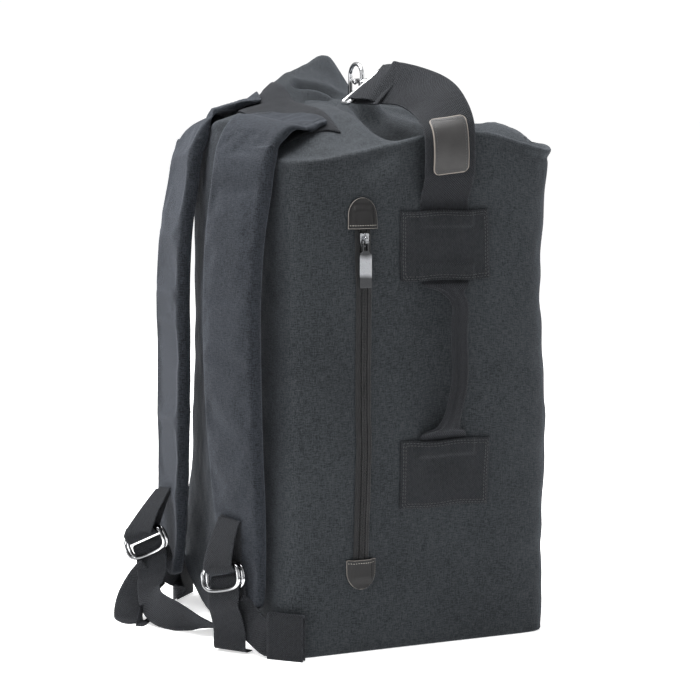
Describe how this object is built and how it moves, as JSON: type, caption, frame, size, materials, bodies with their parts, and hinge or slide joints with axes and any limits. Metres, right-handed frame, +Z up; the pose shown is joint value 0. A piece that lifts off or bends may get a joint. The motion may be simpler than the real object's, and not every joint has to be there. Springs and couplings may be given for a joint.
{
  "type": "backpack",
  "caption": "Bucket-shaped canvas backpack standing on its base, with padded shoulder straps, side zip, webbing carry handle and an over-the-top sling strap with a snap hook",
  "frame": {"origin": "centre of the bag's base, on the floor", "axes": "+Z up along the bag, +Y towards the back panel with the shoulder straps, -X towards the side with the zip and the carry handle"},
  "size_m": [0.3262, 0.3783, 0.5521],
  "materials": {
    "canvas": "washed cotton canvas, matte",
    "padding": "padded canvas, matte",
    "webbing": "ribbed cotton webbing, matte",
    "leather": "dark vegetable-tanned leather, satin",
    "steel": "polished nickel plate",
    "gunmetal": "dark nickel, satin",
    "coil": "nylon coil, satin"
  },
  "bodies": {
    "bag": {"bag_body": "canvas", "anchor_band": "webbing", "shoulder_strap_left": "padding", "shoulder_strap_right": "padding", "ring_left_inner": "steel", "ring_left_outer": "steel", "ring_right_inner": "steel", "ring_right_outer": "steel", "strap_tab_left": "webbing", "strap_tab_right": "webbing", "corner_loop_left": "webbing", "corner_loop_right": "webbing", "adjuster_left": "webbing", "adjuster_right": "webbing", "adjuster_end_right": "webbing", "patch_top": "webbing", "patch_bottom": "webbing", "carry_handle": "webbing", "sling_strap": "webbing", "sling_tag": "leather", "hook_loop": "steel", "hook_body": "steel", "closure_staple": "steel", "closure_eyelet": "steel", "zip_tape": "webbing", "zip_coil": "coil", "zip_tab_top": "leather", "zip_tab_bottom": "leather", "zip_slider": "gunmetal"},
    "zip_pull": {"zip_pull": "gunmetal"},
    "hook_gate": {"hook_gate": "steel"}
  },
  "joints": [
    {"name": "zip_pull_hinge", "type": "hinge", "parent": "bag", "child": "zip_pull", "pos_m": [-0.15074, 0.05984, 0.38372], "axis": [0, 1, 0], "range_deg": [0, 150]},
    {"name": "hook_gate_hinge", "type": "hinge", "parent": "bag", "child": "hook_gate", "pos_m": [-0.01647, 0.01081, 0.52596], "axis": [0.095, -0.04, -0.9947], "range_deg": [0, 25], "stiffness_Nm_per_rad": 0.01}
  ]
}
